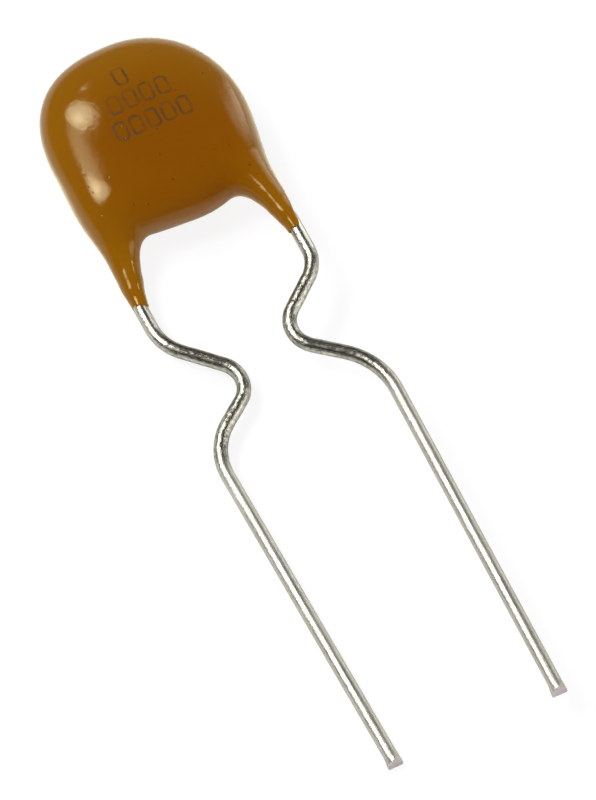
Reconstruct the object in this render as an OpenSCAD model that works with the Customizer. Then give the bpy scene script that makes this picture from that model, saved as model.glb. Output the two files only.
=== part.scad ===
// Radial-leaded resettable fuse, in millimetres.
// A flat polymer chip has a metal foil on each face and a tinned wire soldered to each foil.
// One dipped coating wraps the chip and runs down the wires as two tapered sleeves.
// Everything is drawn with X across the leads, Y away from their tips and Z out of the front
// face, with Y = 0 on the body's middle line, and is then laid down on its back on Z = 0.

/* [Coated body] */
// Width of the coated body from side to side
body_w = 7.2; // [6.9:0.02:7.6]
// Height of the rounded top above the body's middle line
body_top = 3.85; // [3.6:0.05:4.3]
// Depth of the body below its middle line
body_bottom = 3.36; // [3.1:0.02:3.7]
// Thickness of the coated body
body_t = 2.8; // [2.7:0.02:3.2]
// Sideways shift of the body from the middle of the leads
body_shift = 0.12; // [-0.1:0.01:0.2]
// Extra depth of the underside for each millimetre to the right
underside_slope = 0.08; // [0:0.01:0.15]
// Squareness of the upper left corner, where 2 is an ellipse
left_top_squareness = 2.5; // [2.1:0.02:3]
// Squareness of the upper right corner
right_top_squareness = 2.12; // [2.1:0.02:3]
// Squareness of the lower left corner
left_low_squareness = 4.2; // [2.2:0.1:5]
// Squareness of the lower right corner
right_low_squareness = 2.1; // [2:0.1:4]
// Flatness of the two faces, where 2 is a plain oval section
face_flatness = 2.45; // [2.3:0.05:3]

/* [Coated legs] */
// How far below the middle line the coating ends on the left lead
left_sleeve_end = 5.5; // [5.3:0.05:6]
// How far below the middle line the coating ends on the right lead
right_sleeve_end = 5.6; // [5.3:0.05:6]
// How far below the middle line the sleeves grow out of the body
sleeve_root = 2.35; // [2:0.05:2.6]
// Radius of the sleeves at their root
sleeve_root_r = 0.8; // [0.7:0.01:0.95]
// Distance of a sleeve's root from the middle of the body's thickness
sleeve_root_z = 0.28; // [0.2:0.01:0.4]
// Length over which a sleeve's top sinks into the body
sleeve_fade = 2.2; // [1.6:0.1:2.8]
// Slimness of the sleeves between their ends, where 1 is a plain cone
sleeve_taper = 1.2; // [1:0.05:1.5]
// Wall of the coating round the wire at the end of a sleeve
sleeve_wall = 0.06; // [0.05:0.01:0.12]
// How far inside the line of the left lead its sleeve is rooted
left_sleeve_lean = 0.53; // [0.3:0.01:0.6]
// How far inside the line of the right lead its sleeve is rooted
right_sleeve_lean = 0.55; // [0.3:0.01:0.8]
// Width over which the left sleeve flows into the body
left_flow = 0.55; // [0.2:0.05:1]
// Width over which the right sleeve flows into the body
right_flow = 0.65; // [0.2:0.05:1]

/* [Chip] */
// Width of the polymer chip
chip_w = 5.6; // [5.4:0.05:5.8]
// Height of the polymer chip along the leads
chip_h = 4.6; // [4.2:0.05:4.8]
// Thickness of the polymer chip
chip_t = 0.5; // [0.4:0.01:0.6]
// Radius of the chip's corners
chip_corner_r = 0.9; // [0.6:0.05:1.2]
// Thickness of the foil on each face of the chip
foil_t = 0.03; // [0.02:0.005:0.05]

/* [Leads] */
// Diameter of the tinned wire
wire_d = 0.5; // [0.46:0.01:0.54]
// Distance between the leads where they leave the coating
lead_pitch = 5.94; // [5.84:0.01:6.04]
// Distance between the leads on the chip
chip_lead_pitch = 4.5; // [4.3:0.05:4.6]
// Inner radius of the gentle bends inside the coating
spread_bend_r = 1.2; // [0.8:0.1:1.6]
// Length of wire that is soldered to the foil
solder_l = 3.4; // [3:0.05:3.8]
// Width of the solder joint across the wire
solder_w = 1.3; // [1.2:0.02:1.4]
// How high the solder climbs above the foil
solder_h = 0.42; // [0.36:0.01:0.44]
// Thickness of the solder left between the wire and the foil
solder_film = 0.03; // [0.02:0.005:0.05]

/* [Kinks] */
// How far below the middle line the corner lies where both kinks turn inward
kink_top = 7.09; // [6.9:0.01:7.3]
// How far below the middle line the left kink has its inner corner
left_kink_middle = 9.52; // [9.3:0.02:9.7]
// How far below the middle line the right kink has its inner corner
right_kink_middle = 9.09; // [8.9:0.01:9.3]
// How far below the middle line the corner lies where both kinks turn straight again
kink_low = 11.41; // [11.2:0.01:11.8]
// Distance between the inner corners of the two kinks
kink_gap = 1; // [0.8:0.05:1.6]
// Bend radius at the top of the left kink, on the wire's centre
left_top_bend_r = 1.8; // [1:0.1:2]
// Bend radius at the top of the right kink
right_top_bend_r = 1.3; // [1:0.1:2]
// Bend radius at the inner corner of both kinks
middle_bend_r = 1; // [0.7:0.05:1.1]
// Bend radius at the foot of the left kink
left_low_bend_r = 2.2; // [1.5:0.1:2.4]
// Bend radius at the foot of the right kink
right_low_bend_r = 2.6; // [1.5:0.1:2.8]

/* [Straight leads] */
// Distance of the foot of the left kink from the middle
left_foot_out = 3.14; // [2.9:0.01:3.4]
// Distance of the foot of the right kink from the middle
right_foot_out = 3.31; // [3:0.01:3.5]
// Distance of the left lead's tip from the middle
left_tip_out = 2.83; // [2.6:0.01:3.2]
// Distance of the right lead's tip from the middle
right_tip_out = 3.11; // [2.8:0.01:3.4]
// How far below the middle line the left lead ends
left_lead_end = 25.2; // [20:0.1:30]
// How far below the middle line the right lead ends
right_lead_end = 25.5; // [20:0.1:30]
// Slant of the cut across each tip, in degrees
tip_slant = 12; // [0:1:30]

/* [Hidden] */
$fn = 48;

// The left lead lies behind the chip and the right lead in front of it
LEFT = -1;
RIGHT = 1;
wire_r = wire_d / 2;
// Each straight stretch ends just inside its bends, which are a hair thicker
wire_lap = 0.02;
bend_swell = 0.001;
lead_z = chip_t / 2 + foil_t + solder_film + wire_r;
solder_top = solder_l / 2;
spread_top = chip_h / 2 + wire_d;
spread_low = spread_top + chip_h / 2;

function pick(side, left, right) = side < 0 ? left : right;
function unit(v) = v / norm(v);

// ---- Leads: straight wire between round bends ----

// Corners of a lead's route from the chip to the tip, measured outward from the middle
function lead_route(side) = [
    [chip_lead_pitch / 2, solder_top],
    [chip_lead_pitch / 2, -spread_top],
    [lead_pitch / 2, -spread_low],
    [lead_pitch / 2, -kink_top],
    [kink_gap / 2, -pick(side, left_kink_middle, right_kink_middle)],
    [pick(side, left_foot_out, right_foot_out), -kink_low],
    [pick(side, left_tip_out, right_tip_out), -pick(side, left_lead_end, right_lead_end)]
];

// Bend radius at each corner of the route, with none at its two ends
function lead_bends(side) = [
    0,
    spread_bend_r,
    spread_bend_r,
    pick(side, left_top_bend_r, right_top_bend_r),
    middle_bend_r,
    pick(side, left_low_bend_r, right_low_bend_r),
    0
];

// Angle through which the wire turns at a corner, anticlockwise positive
function turn(route, i) =
    let (
        a = unit(route[i] - route[i - 1]),
        b = unit(route[i + 1] - route[i])
    )
    atan2(a.x * b.y - a.y * b.x, a.x * b.x + a.y * b.y);

// Length of straight wire that a bend takes up on each side of its corner
function bend_reach(route, bends, i) =
    bends[i] == 0 ? 0 : bends[i] * tan(abs(turn(route, i)) / 2);

module straight_wire(from, to) {
    along = to - from;
    translate([from.x, from.y, 0])
        rotate([0, 0, atan2(along.y, along.x)])
            translate([-wire_lap, 0, 0])
                rotate([0, 90, 0])
                    cylinder(r = wire_r, h = norm(along) + 2 * wire_lap);
}

module bent_wire(corner, before, after, bend_r, angle) {
    hand = angle > 0 ? 1 : -1;
    start = corner - before * bend_r * tan(abs(angle) / 2);
    centre = start + hand * bend_r * [-before.y, before.x];
    heading = atan2(start.y - centre.y, start.x - centre.x);
    translate([centre.x, centre.y, 0])
        rotate([0, 0, angle > 0 ? heading : heading + angle])
            rotate_extrude(angle = abs(angle))
                translate([bend_r, 0])
                    circle(r = wire_r + bend_swell);
}

module wire_along(route, bends) {
    last = len(route) - 1;
    for (i = [0 : last - 1]) {
        way = unit(route[i + 1] - route[i]);
        straight_wire(
            route[i] + way * bend_reach(route, bends, i),
            route[i + 1] - way * bend_reach(route, bends, i + 1)
        );
    }
    for (i = [1 : last - 1])
        bent_wire(
            route[i], unit(route[i] - route[i - 1]), unit(route[i + 1] - route[i]),
            bends[i], turn(route, i)
        );
}

// The snips leave each tip slanted, longest at its underside
module snip(tip) {
    block = 4 * wire_d;
    translate([tip.x, tip.y, 0])
        rotate([-tip_slant, 0, 0])
            translate([-block / 2, -block, -block / 2])
                cube(block);
}

module lead(side) {
    route = lead_route(side);
    mirror([side < 0 ? 1 : 0, 0, 0])
        translate([0, 0, side * lead_z])
            difference() {
                wire_along(route, lead_bends(side));
                snip(route[len(route) - 1]);
            }
}

// ---- Chip, foils and solder ----

module chip_outline() {
    x = chip_w / 2 - chip_corner_r;
    y = chip_h / 2 - chip_corner_r;
    square([chip_w, chip_h - 2 * chip_corner_r], center = true);
    square([chip_w - 2 * chip_corner_r, chip_h], center = true);
    for (at = [[-x, -y], [x, -y], [-x, y], [x, y]])
        translate(at)
            circle(r = chip_corner_r);
}

module chip_layer(low, high) {
    translate([0, 0, low])
        linear_extrude(high - low)
            chip_outline();
}

// Section of a solder joint: a low foot on the foil with a hollow flank up each side of the wire
solder_skin = 0.02;
solder_foot = 0.04;

module solder_section() {
    hollow_r = solder_h;
    hollow_x = wire_r + solder_skin + hollow_r;
    difference() {
        translate([-solder_w / 2, 0])
            square([solder_w, solder_h]);
        for (side = [LEFT, RIGHT])
            translate([side * hollow_x, solder_h + solder_foot])
                circle(r = hollow_r);
        translate([0, solder_film + wire_r])
            circle(r = wire_r);
    }
}

module solder(side) {
    translate([side * chip_lead_pitch / 2, solder_top, 0])
        mirror([0, 0, side < 0 ? 1 : 0])
            translate([0, 0, chip_t / 2 + foil_t])
                rotate([90, 0, 0])
                    linear_extrude(solder_l)
                        solder_section();
}

module core() {
    chip_layer(-chip_t / 2 - foil_t, chip_t / 2 + foil_t);
    for (side = [LEFT, RIGHT]) {
        solder(side);
        lead(side);
    }
}

// ---- Coating: a pillow that flows into a tapered sleeve round each lead ----

// Each form is given by a function that is negative inside it and zero on its surface

// Steepness with which a pillow's value grows outside it, matched to that of the sleeves
pillow_steepness = body_w / 4;

function pillow(p) =
    let (
        side = p.x < body_shift ? LEFT : RIGHT,
        high = p.y > 0,
        n = high
            ? pick(side, left_top_squareness, right_top_squareness)
            : pick(side, left_low_squareness, right_low_squareness),
        reach = high ? body_top : body_bottom + underside_slope * (p.x - body_shift),
        across = abs(p.x - body_shift) / (body_w / 2),
        along = abs(p.y) / reach,
        plan = pow(pow(across, n) + pow(along, n), 1 / n),
        through = abs(p.z) / (body_t / 2),
        level = pow(pow(plan, face_flatness) + pow(through, face_flatness), 1 / face_flatness)
    )
    (level - 1) * pillow_steepness;

// A sleeve is a bent cone with a long rounded top that sinks into the pillow
function sleeve(p, side) =
    let (
        end = pick(side, left_sleeve_end, right_sleeve_end),
        lean = pick(side, left_sleeve_lean, right_sleeve_lean),
        end_r = wire_r + sleeve_wall,
        down = min(max((-p.y - sleeve_root) / (end - sleeve_root), 0), 1),
        still = pow(1 - down, sleeve_taper),
        over = max(p.y + sleeve_root, 0) * sleeve_root_r / sleeve_fade,
        x = side * (lead_pitch / 2 - lean * still),
        z = side * (lead_z - (lead_z - sleeve_root_z) * pow(1 - down, 2)),
        r = end_r + (sleeve_root_r - end_r) * still
    )
    norm([p.x - x, p.z - z, over]) - r;

// Joins two forms with a fillet about as wide as the flow
function flow_together(a, b, flow) =
    let (share = min(max(0.5 + 0.5 * (b - a) / flow, 0), 1))
    b * (1 - share) + a * share - flow * share * (1 - share);

function coat(p) =
    flow_together(
        flow_together(pillow(p), sleeve(p, LEFT), left_flow),
        sleeve(p, RIGHT),
        right_flow
    );

// Point where the line from a point inside to a point outside meets the surface
function surface_between(inside, outside, steps = 15) =
    let (middle = (inside + outside) / 2)
    steps == 0 ? middle
        : coat(middle) < 0 ? surface_between(middle, outside, steps - 1)
        : surface_between(inside, middle, steps - 1);

// The skin is a row of rings from the end of the left sleeve, up and round the body in a fan,
// and down to the end of the right sleeve. Each ring lies in an upright plane through its hub.
fan_steps = 64;
sleeve_steps = 6;
ring_points = 36;
// The fan's hub lies this far above the end of the shorter sleeve
hub_rise = 0.6;
hub_y = -(min(left_sleeve_end, right_sleeve_end) - hub_rise);

// The spine is a rounded arch that stays well inside the body and its sleeves
spine_squareness = 3;
spine_inset = 0.05;

// Distance from the hub to the spine
function spine(angle) =
    let (
        across = abs(cos(angle)) / (lead_pitch / 2 - spine_inset),
        along = abs(sin(angle)) / -hub_y
    )
    pow(pow(across, spine_squareness) + pow(along, spine_squareness), -1 / spine_squareness);

function ring(hub, angle) =
    let (
        out = [cos(angle), sin(angle), 0],
        seed = hub + [0, 0, lead_z * cos(angle)],
        inside = seed + spine(angle) * out,
        inner = surface_between(inside, seed),
        outer = surface_between(inside, inside + body_w * out),
        centre = (inner + outer) / 2,
        half_w = norm(outer - inner) / 2,
        half_t = norm(surface_between(centre, centre + [0, 0, body_t]) - centre)
    )
    [
        for (i = [0 : ring_points - 1])
            let (a = 360 * i / ring_points)
            surface_between(
                centre,
                centre + 2 * (half_w * cos(a) * out + [0, 0, half_t * sin(a)])
            )
    ];

function sleeve_rings(side, order) =
    let (end = -pick(side, left_sleeve_end, right_sleeve_end))
    [for (i = order) ring([0, end + (hub_y - end) * i / sleeve_steps, 0], side < 0 ? 180 : 0)];

function fan_rings() = [for (i = [0 : fan_steps]) ring([0, hub_y, 0], 180 * (1 - i / fan_steps))];

module skin() {
    rings = concat(
        sleeve_rings(LEFT, [0 : sleeve_steps - 1]),
        fan_rings(),
        sleeve_rings(RIGHT, [sleeve_steps - 1 : -1 : 0])
    );
    last = len(rings) - 1;
    n = ring_points;
    points = [for (r = rings) for (p = r) p];
    walls = [
        for (i = [0 : last - 1])
            for (j = [0 : n - 1])
                let (k = (j + 1) % n)
                each [
                    [i * n + j, (i + 1) * n + j, (i + 1) * n + k],
                    [i * n + j, (i + 1) * n + k, i * n + k]
                ]
    ];
    first_end = [for (j = [0 : n - 1]) j];
    last_end = [for (j = [n - 1 : -1 : 0]) last * n + j];
    polyhedron(points, concat([first_end], walls, [last_end]));
}

// ---- Resting on its back ----

// The belly and the tip of the back lead touch the table, so the part tips forward a little
function belly(slope) =
    let (
        flat = face_flatness - 1,
        out = pow(slope * body_bottom * 2 / body_t, 1 / flat)
    )
    body_t / 2 + slope * body_bottom * out * flat / face_flatness;
rest_slope_guess = (body_t / 2 - lead_z - wire_r) / left_lead_end;
rest_slope = (belly(rest_slope_guess) - lead_z - wire_r) / left_lead_end;
rest_angle = atan(rest_slope);
rest_height = belly(rest_slope) * cos(rest_angle);
rest_middle_y = (body_top - right_lead_end) / 2 * cos(rest_angle);

module laid_down() {
    translate([-body_shift, -rest_middle_y, rest_height])
        rotate([rest_angle, 0, 0])
            children();
}

// ---- The pieces ----

module coating() {
    color([0.62, 0.36, 0.08])
        laid_down()
            difference() {
                skin();
                core();
            }
}

module polymer_chip() {
    color([0.08, 0.08, 0.08])
        laid_down()
            chip_layer(-chip_t / 2, chip_t / 2);
}

module front_foil() {
    color([0.72, 0.7, 0.66])
        laid_down()
            chip_layer(chip_t / 2, chip_t / 2 + foil_t);
}

module back_foil() {
    color([0.72, 0.7, 0.66])
        laid_down()
            chip_layer(-chip_t / 2 - foil_t, -chip_t / 2);
}

module front_solder() {
    color([0.66, 0.67, 0.68])
        laid_down()
            solder(RIGHT);
}

module back_solder() {
    color([0.66, 0.67, 0.68])
        laid_down()
            solder(LEFT);
}

module front_lead() {
    color([0.78, 0.77, 0.73])
        laid_down()
            lead(RIGHT);
}

module back_lead() {
    color([0.78, 0.77, 0.73])
        laid_down()
            lead(LEFT);
}

coating();
polymer_chip();
front_foil();
back_foil();
front_solder();
back_solder();
front_lead();
back_lead();
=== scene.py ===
"""Resettable fuse: dipped coating, two tinned leads and their finishes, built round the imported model."""

import math
from types import SimpleNamespace

import bpy
import numpy as np
from bpy.props import FloatProperty, FloatVectorProperty, PointerProperty
from mathutils import Matrix, Vector


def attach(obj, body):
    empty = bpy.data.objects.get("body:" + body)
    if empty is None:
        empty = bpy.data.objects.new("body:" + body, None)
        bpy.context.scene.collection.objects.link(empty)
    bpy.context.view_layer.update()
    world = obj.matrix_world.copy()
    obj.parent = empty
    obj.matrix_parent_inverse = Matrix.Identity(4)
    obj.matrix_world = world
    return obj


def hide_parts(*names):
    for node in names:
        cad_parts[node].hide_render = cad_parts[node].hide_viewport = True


bl_info = {
    "name": "Resettable fuse",
    "version": (1, 0, 0),
    "blender": (4, 5, 0),
    "location": "3D View > Sidebar > Fuse",
    "description": "Builds the coating, leads and stage of a radial-leaded resettable fuse",
    "category": "Add Mesh",
}

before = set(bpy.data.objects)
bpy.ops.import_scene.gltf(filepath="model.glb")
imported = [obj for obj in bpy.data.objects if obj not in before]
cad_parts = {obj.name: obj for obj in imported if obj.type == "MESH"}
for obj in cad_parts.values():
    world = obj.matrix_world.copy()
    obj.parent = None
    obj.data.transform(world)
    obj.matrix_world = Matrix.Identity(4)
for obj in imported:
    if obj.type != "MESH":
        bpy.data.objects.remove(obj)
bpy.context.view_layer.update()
MM = 0.001
LEFT, RIGHT = -1, 1
FLOAT, VECTOR = "NodeSocketFloat", "NodeSocketVector"
# Height of the front face above the middle of the body, in millimetres
FACE_HEIGHT = 1.3


# ---- Sizes and colours that a user would change ----


def length(name, millimetres, description):
    return FloatProperty(
        name=name,
        description=description,
        default=millimetres * MM,
        unit="LENGTH",
        precision=6,
    )


def number(name, value, description):
    return FloatProperty(name=name, description=description, default=value)


def colour(name, value, description):
    return FloatVectorProperty(
        name=name,
        description=description,
        default=value,
        subtype="COLOR",
        size=3,
        min=0.0,
        max=1.0,
    )


def degrees(name, value, description):
    return FloatProperty(
        name=name,
        description=description,
        default=math.radians(value),
        subtype="ANGLE",
    )


class FuseCoating(bpy.types.PropertyGroup):
    """Sizes and colours of the dipped coating"""

    body_w: length("Body width", 7.2, "Width of the coated body from side to side")
    body_top: length("Top", 3.85, "Height of the rounded top above the middle line")
    body_bottom: length("Bottom", 3.36, "Depth of the body below its middle line")
    body_t: length("Thickness", 2.8, "Thickness of the coated body")
    body_shift: length("Shift", 0.12, "Sideways shift of the body from the middle of the leads")
    underside_slope: number("Underside slope", 0.08, "Extra depth per unit to the right")
    left_top_squareness: number("Upper left squareness", 2.5, "2 is an ellipse")
    right_top_squareness: number("Upper right squareness", 2.12, "2 is an ellipse")
    left_low_squareness: number("Lower left squareness", 4.2, "2 is an ellipse")
    right_low_squareness: number("Lower right squareness", 2.1, "2 is an ellipse")
    face_flatness: number("Face flatness", 2.45, "2 is a plain oval section")
    left_sleeve_end: length("Left leg end", 5.5, "How far below the middle line it ends")
    right_sleeve_end: length("Right leg end", 5.6, "How far below the middle line it ends")
    sleeve_root: length("Leg root", 2.35, "How far below the middle line the legs grow out")
    sleeve_root_r: length("Leg root radius", 0.8, "Radius of the legs at their root")
    sleeve_root_z: length("Leg root offset", 0.28, "Distance of a leg's root from the middle")
    sleeve_fade: length("Leg fade", 2.2, "Length over which a leg sinks into the body")
    sleeve_taper: number("Leg taper", 1.2, "1 is a plain cone, more is slimmer in the middle")
    sleeve_wall: length("Leg wall", 0.06, "Wall of the coating at the end of a leg")
    left_sleeve_lean: length("Left leg lean", 0.53, "How far inside the lead it is rooted")
    right_sleeve_lean: length("Right leg lean", 0.55, "How far inside the lead it is rooted")
    left_flow: length("Left flow", 0.55, "Width over which the left leg flows into the body")
    right_flow: length("Right flow", 0.65, "Width over which the right leg flows into the body")
    # These two resin colours carry painted light and shade. The coating is drawn darker round a point in the
    # lower middle of the face and lighter towards the top, the rim and the legs.
    resin: colour("Resin", (0.25, 0.095, 0.001), "Colour of the coating at the rim and on the legs")
    resin_painted_shade: colour("Resin, dark", (0.196, 0.0585, 0.0001), "Colour in the thick middle")
    ink: colour("Ink", (0.07, 0.04, 0.014), "Colour of the printed marks")


class FuseLeads(bpy.types.PropertyGroup):
    """Sizes and colour of the tinned leads"""

    wire_d: length("Wire", 0.5, "Diameter of the tinned wire")
    lead_z: length("Offset", 0.56, "Distance of each lead from the middle of the chip")
    lead_pitch: length("Pitch", 5.94, "Distance between the leads below the coating")
    chip_lead_pitch: length("Pitch on the chip", 4.5, "Distance between the leads on the chip")
    solder_top: length("Solder top", 1.7, "Where the leads start above the middle line")
    spread_top: length("Spread top", 2.8, "Where the leads start to spread")
    spread_low: length("Spread low", 5.1, "Where the leads run straight again")
    spread_bend_r: length("Spread bend", 1.2, "Radius of the bends inside the coating")
    kink_top: length("Kink top", 7.09, "Where both kinks turn inward")
    left_kink_middle: length("Left kink middle", 9.52, "Inner corner of the left kink")
    right_kink_middle: length("Right kink middle", 9.09, "Inner corner of the right kink")
    kink_low: length("Kink low", 11.41, "Where both kinks turn straight again")
    kink_gap: length("Kink gap", 1.0, "Distance between the inner corners")
    left_top_bend_r: length("Left top bend", 1.8, "Radius of that bend")
    right_top_bend_r: length("Right top bend", 1.3, "Radius of that bend")
    middle_bend_r: length("Middle bend", 1.0, "Radius at the inner corners")
    left_low_bend_r: length("Left low bend", 2.2, "Radius of that bend")
    right_low_bend_r: length("Right low bend", 2.6, "Radius of that bend")
    left_foot_out: length("Left foot", 3.14, "Foot of the left kink from the middle")
    right_foot_out: length("Right foot", 3.31, "Foot of the right kink from the middle")
    left_tip_out: length("Left tip", 2.83, "Tip of the left lead from the middle")
    right_tip_out: length("Right tip", 3.11, "Tip of the right lead from the middle")
    left_lead_end: length("Left lead end", 25.2, "How far below the middle line it ends")
    right_lead_end: length("Right lead end", 25.5, "How far below the middle line it ends")
    left_nip: length("Left nip", 0.37, "Length that the snips crushed off the left tip")
    right_nip: length("Right nip", 0.15, "Length that the snips crushed off the right tip")
    tip_slant: degrees("Tip slant", 14.0, "Slant of the cut across each tip")
    tool_marks: length("Tool marks", 0.04, "Depth of the marks that the bending tool left")
    tin: colour("Tin", (0.56, 0.543, 0.47), "Colour of the tinned surface")


class FuseStudio(bpy.types.PropertyGroup):
    """Camera, lamps and floor"""

    camera_tilt: degrees("Camera height", 63.57, "How steeply the camera looks down")
    camera_swing: degrees("Camera swing", 26.29, "Turn of the camera round the part")
    camera_roll: degrees("Camera roll", -0.12, "Turn of the camera about its own line of sight")
    camera_lens: number("Lens", 620.0, "Focal length")
    view_height: length("View height", 27.43, "Height of the camera's view at the part")
    lamp_distance: length("Lamp distance", 300.0, "Distance of the lamps from the part")
    surround: number("Surround", 0.06, "Brightness of the room round the part")
    floor_size: length("Floor size", 820.0, "Radius of the floor")
    floor_rim: length("Floor rim", 75.0, "Height to which the floor sweeps up at its edge")


# ---- The component's own frame, and how it lies on its back ----


def read(group):
    """A property group's values, with its lengths in millimetres."""
    values = {}
    for p in group.bl_rna.properties:
        if p.identifier in ("rna_type", "name"):
            continue
        value = getattr(group, p.identifier)
        if p.type == "FLOAT" and p.is_array:
            values[p.identifier] = (*value, 1.0)
        else:
            values[p.identifier] = value / MM if p.unit == "LENGTH" else value
    return SimpleNamespace(**values)


def pick(side, left, right):
    return left if side < 0 else right


def own(group, side, what):
    """The value that belongs to the left or to the right side."""
    return getattr(group, pick(side, "left_", "right_") + what)


class Rest:
    """Turns points of the component, in millimetres, into points of the row frame, in metres."""

    def __init__(self, coat, leads):
        wire_r = leads.wire_d / 2
        flat = coat.face_flatness - 1

        def belly(slope):
            out = (slope * coat.body_bottom * 2 / coat.body_t) ** (1 / flat)
            return coat.body_t / 2 + slope * coat.body_bottom * out * flat / coat.face_flatness

        guess = (coat.body_t / 2 - leads.lead_z - wire_r) / leads.left_lead_end
        slope = (belly(guess) - leads.lead_z - wire_r) / leads.left_lead_end
        self.angle = math.atan(slope)
        height = belly(slope) * math.cos(self.angle)
        middle = (coat.body_top - leads.right_lead_end) / 2 * math.cos(self.angle)
        self.shift = np.array([-coat.body_shift, -middle, height])
        c, s = math.cos(self.angle), math.sin(self.angle)
        self.turn = np.array([[1, 0, 0], [0, c, -s], [0, s, c]])

    def place(self, points):
        return (np.asarray(points, float) @ self.turn.T + self.shift) * MM

    def direction(self, vector):
        return self.turn @ np.asarray(vector, float)


def setup():
    scene = bpy.context.scene
    coat, leads = read(scene.fuse_coating), read(scene.fuse_leads)
    return coat, leads, Rest(coat, leads)


# ---- Shader helpers and shared effects ----


class Shader:
    """A node tree with short calls for adding and joining nodes."""

    def __init__(self, tree):
        self.tree = tree
        self.nodes = tree.nodes
        self.across = 0

    def add(self, kind, inputs=None, **settings):
        node = self.nodes.new(kind)
        node.location = (self.across, 0)
        self.across += 180
        for key, value in settings.items():
            setattr(node, key, value)
        for key, value in (inputs or {}).items():
            if isinstance(value, bpy.types.NodeSocket):
                self.tree.links.new(value, node.inputs[key])
            else:
                node.inputs[key].default_value = value
        return node

    def math(self, operation, a, b=0.0, c=0.0, clamp=False):
        node = self.add("ShaderNodeMath", {0: a, 1: b, 2: c}, operation=operation)
        node.use_clamp = clamp
        return node.outputs[0]

    def ramp(self, value, low, high, to_low=0.0, to_high=1.0, smooth=True):
        node = self.add(
            "ShaderNodeMapRange",
            {"Value": value, 1: low, 2: high, 3: to_low, 4: to_high},
            interpolation_type="SMOOTHSTEP" if smooth else "LINEAR",
        )
        return node.outputs["Result"]

    def mix(self, share, a, b):
        return self.add("ShaderNodeMix", {"Factor": share, 6: a, 7: b}, data_type="RGBA").outputs[2]

    def vector(self, operation, a, b=(0.0, 0.0, 0.0)):
        """A vector, or the number that LENGTH and DISTANCE give. SCALE takes a number as b."""
        key = "Scale" if operation == "SCALE" else 1
        node = self.add("ShaderNodeVectorMath", {0: a, key: b}, operation=operation)
        return node.outputs["Value" if operation in ("LENGTH", "DISTANCE") else "Vector"]

    def noise(self, where, scale, detail=3.0, roughness=0.55):
        return self.add(
            "ShaderNodeTexNoise",
            {"Vector": where, "Scale": scale, "Detail": detail, "Roughness": roughness},
        ).outputs["Fac"]

    def group(self, name, **inputs):
        return self.add(
            "ShaderNodeGroup",
            {k.replace("_", " "): v for k, v in inputs.items()},
            node_tree=bpy.data.node_groups[name],
        ).outputs


def new_group(name, inputs, outputs):
    tree = bpy.data.node_groups.new(name, "ShaderNodeTree")
    for key, kind, value in inputs:
        socket = tree.interface.new_socket(key, in_out="INPUT", socket_type=kind)
        if value is not None:
            socket.default_value = value
    for key, kind in outputs:
        tree.interface.new_socket(key, in_out="OUTPUT", socket_type=kind)
    shader = Shader(tree)
    return shader, shader.add("NodeGroupInput").outputs, shader.add("NodeGroupOutput").inputs


def mottling_group():
    """Slow drift and fine grain of a surface, used in every material."""
    shader, given, out = new_group(
        "mottling",
        [
            ("Where", VECTOR, None),
            ("Drift Scale", FLOAT, 300.0),
            ("Grain Scale", FLOAT, 6000.0),
            ("Grain Share", FLOAT, 0.3),
        ],
        [("Mask", FLOAT), ("Grain", FLOAT)],
    )
    drift = shader.noise(given["Where"], given["Drift Scale"], 2.0)
    grain = shader.noise(given["Where"], given["Grain Scale"], 4.0, 0.6)
    both = shader.add(
        "ShaderNodeMix",
        {"Factor": given["Grain Share"], 2: drift, 3: grain},
        data_type="FLOAT",
    ).outputs[0]
    shader.tree.links.new(shader.ramp(both, 0.3, 0.7), out["Mask"])
    shader.tree.links.new(grain, out["Grain"])


def speck_group():
    """Scattered round specks, such as pits, pinholes and dust."""
    shader, given, out = new_group(
        "specks",
        [
            ("Where", VECTOR, None),
            ("Scale", FLOAT, 1500.0),
            ("Size", FLOAT, 0.12),
            ("Share", FLOAT, 0.1),
        ],
        [("Mask", FLOAT)],
    )
    cell = shader.add(
        "ShaderNodeTexVoronoi", {"Vector": given["Where"], "Scale": given["Scale"]}
    ).outputs
    inner = shader.math("MULTIPLY", given["Size"], 0.5)
    dot = shader.ramp(cell["Distance"], inner, given["Size"], 1.0, 0.0, smooth=False)
    lot = shader.add("ShaderNodeSeparateColor", {0: cell["Color"]}).outputs[0]
    chosen = shader.math("LESS_THAN", lot, given["Share"])
    shader.tree.links.new(shader.math("MULTIPLY", dot, chosen), out["Mask"])


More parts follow.
